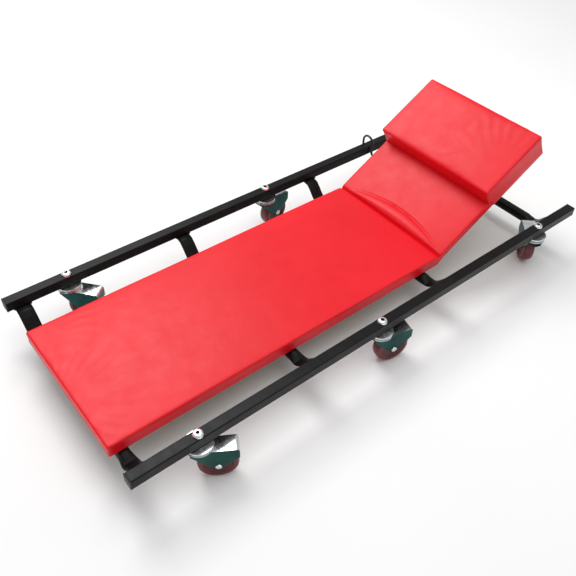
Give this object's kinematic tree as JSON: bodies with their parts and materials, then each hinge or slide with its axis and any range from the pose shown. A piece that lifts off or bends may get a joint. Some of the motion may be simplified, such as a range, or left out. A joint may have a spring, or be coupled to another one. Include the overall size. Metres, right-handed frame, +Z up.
{
  "type": "mechanics creeper",
  "caption": "Low padded mechanics creeper: red vinyl board on a square-tube frame with swivel casters, a folding back section and a thick headrest.",
  "frame": {"origin": "on the floor under the middle of the object's box", "axes": "+X towards the head end, along the rails; +Y towards the side with the prop's loop; +Z up"},
  "size_m": [1.022, 0.4988, 0.2574],
  "materials": {
    "frame_black": "satin",
    "plug_black": "matte",
    "vinyl_red": "satin",
    "board": "matte",
    "zinc": "satin",
    "wheel_red": "satin",
    "wire_black": "satin"
  },
  "bodies": {
    "frame": {"near_rail": "frame_black", "far_rail": "frame_black", "foot_cross_tube": "frame_black", "second_cross_tube": "frame_black", "third_cross_tube": "frame_black", "head_cross_tube": "frame_black", "near_prop_bar": "frame_black", "far_prop_bar": "frame_black", "near_head_plug": "plug_black", "near_foot_plug": "plug_black", "far_head_plug": "plug_black", "far_foot_plug": "plug_black", "near_foot_bolt": "zinc", "near_foot_race": "zinc", "near_mid_bolt": "zinc", "near_mid_race": "zinc", "near_head_bolt": "zinc", "near_head_race": "zinc", "far_foot_bolt": "zinc", "far_foot_race": "zinc", "far_mid_bolt": "zinc", "far_mid_race": "zinc", "far_head_bolt": "zinc", "far_head_race": "zinc", "main_board": "board", "main_cushion": "vinyl_red", "pad_screw_foot_near": "zinc", "pad_screw_foot_far": "zinc", "pad_screw_third_near": "zinc", "pad_screw_third_far": "zinc", "near_hinge_fixed_leaf": "zinc", "far_hinge_fixed_leaf": "zinc", "near_hinge_pin": "zinc", "far_hinge_pin": "zinc"},
    "back": {"back_board": "board", "back_cushion": "vinyl_red", "headrest": "vinyl_red", "near_prop_clip": "zinc", "far_prop_clip": "zinc", "near_hinge_moving_leaf": "zinc", "far_hinge_moving_leaf": "zinc"},
    "prop": {"prop_wire": "wire_black"},
    "near_foot_fork": {"near_foot_yoke": "zinc", "near_foot_axle": "zinc"},
    "near_foot_wheel": {"near_foot_wheel": "wheel_red"},
    "near_mid_fork": {"near_mid_yoke": "zinc", "near_mid_axle": "zinc"},
    "near_mid_wheel": {"near_mid_wheel": "wheel_red"},
    "near_head_fork": {"near_head_yoke": "zinc", "near_head_axle": "zinc"},
    "near_head_wheel": {"near_head_wheel": "wheel_red"},
    "far_foot_fork": {"far_foot_yoke": "zinc", "far_foot_axle": "zinc"},
    "far_foot_wheel": {"far_foot_wheel": "wheel_red"},
    "far_mid_fork": {"far_mid_yoke": "zinc", "far_mid_axle": "zinc"},
    "far_mid_wheel": {"far_mid_wheel": "wheel_red"},
    "far_head_fork": {"far_head_yoke": "zinc", "far_head_axle": "zinc"},
    "far_head_wheel": {"far_head_wheel": "wheel_red"}
  },
  "joints": [
    {"name": "back_fold", "type": "hinge", "parent": "frame", "child": "back", "pos_m": [0.192, 0, 0.0745], "axis": [0, 1, 0], "range_deg": [0, 29.5]},
    {"name": "prop_fold", "type": "hinge", "parent": "back", "child": "prop", "pos_m": [0.26719, 0, 0.10406], "axis": [0, 1, 0], "range_deg": [-62.5, 0]},
    {"name": "near_foot_swivel", "type": "hinge", "parent": "frame", "child": "near_foot_fork", "pos_m": [-0.397, -0.208, 0.072], "axis": [0, 0, 1], "continuous": true},
    {"name": "near_foot_roll", "type": "hinge", "parent": "near_foot_fork", "child": "near_foot_wheel", "pos_m": [-0.37471, -0.22139, 0.03175], "axis": [0.515, 0.8572, 0], "continuous": true},
    {"name": "near_mid_swivel", "type": "hinge", "parent": "frame", "child": "near_mid_fork", "pos_m": [-0.032, -0.208, 0.072], "axis": [0, 0, 1], "continuous": true},
    {"name": "near_mid_roll", "type": "hinge", "parent": "near_mid_fork", "child": "near_mid_wheel", "pos_m": [-0.00677, -0.21429, 0.03175], "axis": [0.2419, 0.9703, 0], "continuous": true},
    {"name": "near_head_swivel", "type": "hinge", "parent": "frame", "child": "near_head_fork", "pos_m": [0.3975, -0.208, 0.072], "axis": [0, 0, 1], "continuous": true},
    {"name": "near_head_roll", "type": "hinge", "parent": "near_head_fork", "child": "near_head_wheel", "pos_m": [0.4149, -0.18868, 0.03175], "axis": [-0.7431, 0.6691, 0], "continuous": true},
    {"name": "far_foot_swivel", "type": "hinge", "parent": "frame", "child": "far_foot_fork", "pos_m": [-0.3975, 0.208, 0.072], "axis": [0, 0, 1], "continuous": true},
    {"name": "far_foot_roll", "type": "hinge", "parent": "far_foot_fork", "child": "far_foot_wheel", "pos_m": [-0.38079, 0.18808, 0.03175], "axis": [0.766, 0.6428, 0], "continuous": true},
    {"name": "far_mid_swivel", "type": "hinge", "parent": "frame", "child": "far_mid_fork", "pos_m": [0.038, 0.208, 0.072], "axis": [0, 0, 1], "continuous": true},
    {"name": "far_mid_roll", "type": "hinge", "parent": "far_mid_fork", "child": "far_mid_wheel", "pos_m": [0.0636, 0.21252, 0.03175], "axis": [-0.1736, 0.9848, 0], "continuous": true},
    {"name": "far_head_swivel", "type": "hinge", "parent": "frame", "child": "far_head_fork", "pos_m": [0.397, 0.208, 0.072], "axis": [0, 0, 1], "continuous": true},
    {"name": "far_head_roll", "type": "hinge", "parent": "far_head_fork", "child": "far_head_wheel", "pos_m": [0.41929, 0.22139, 0.03175], "axis": [-0.515, 0.8572, 0], "continuous": true}
  ],
  "couplings": [
    {"joint": "prop_fold", "follows": "back_fold", "ratio": -2.1056}
  ]
}
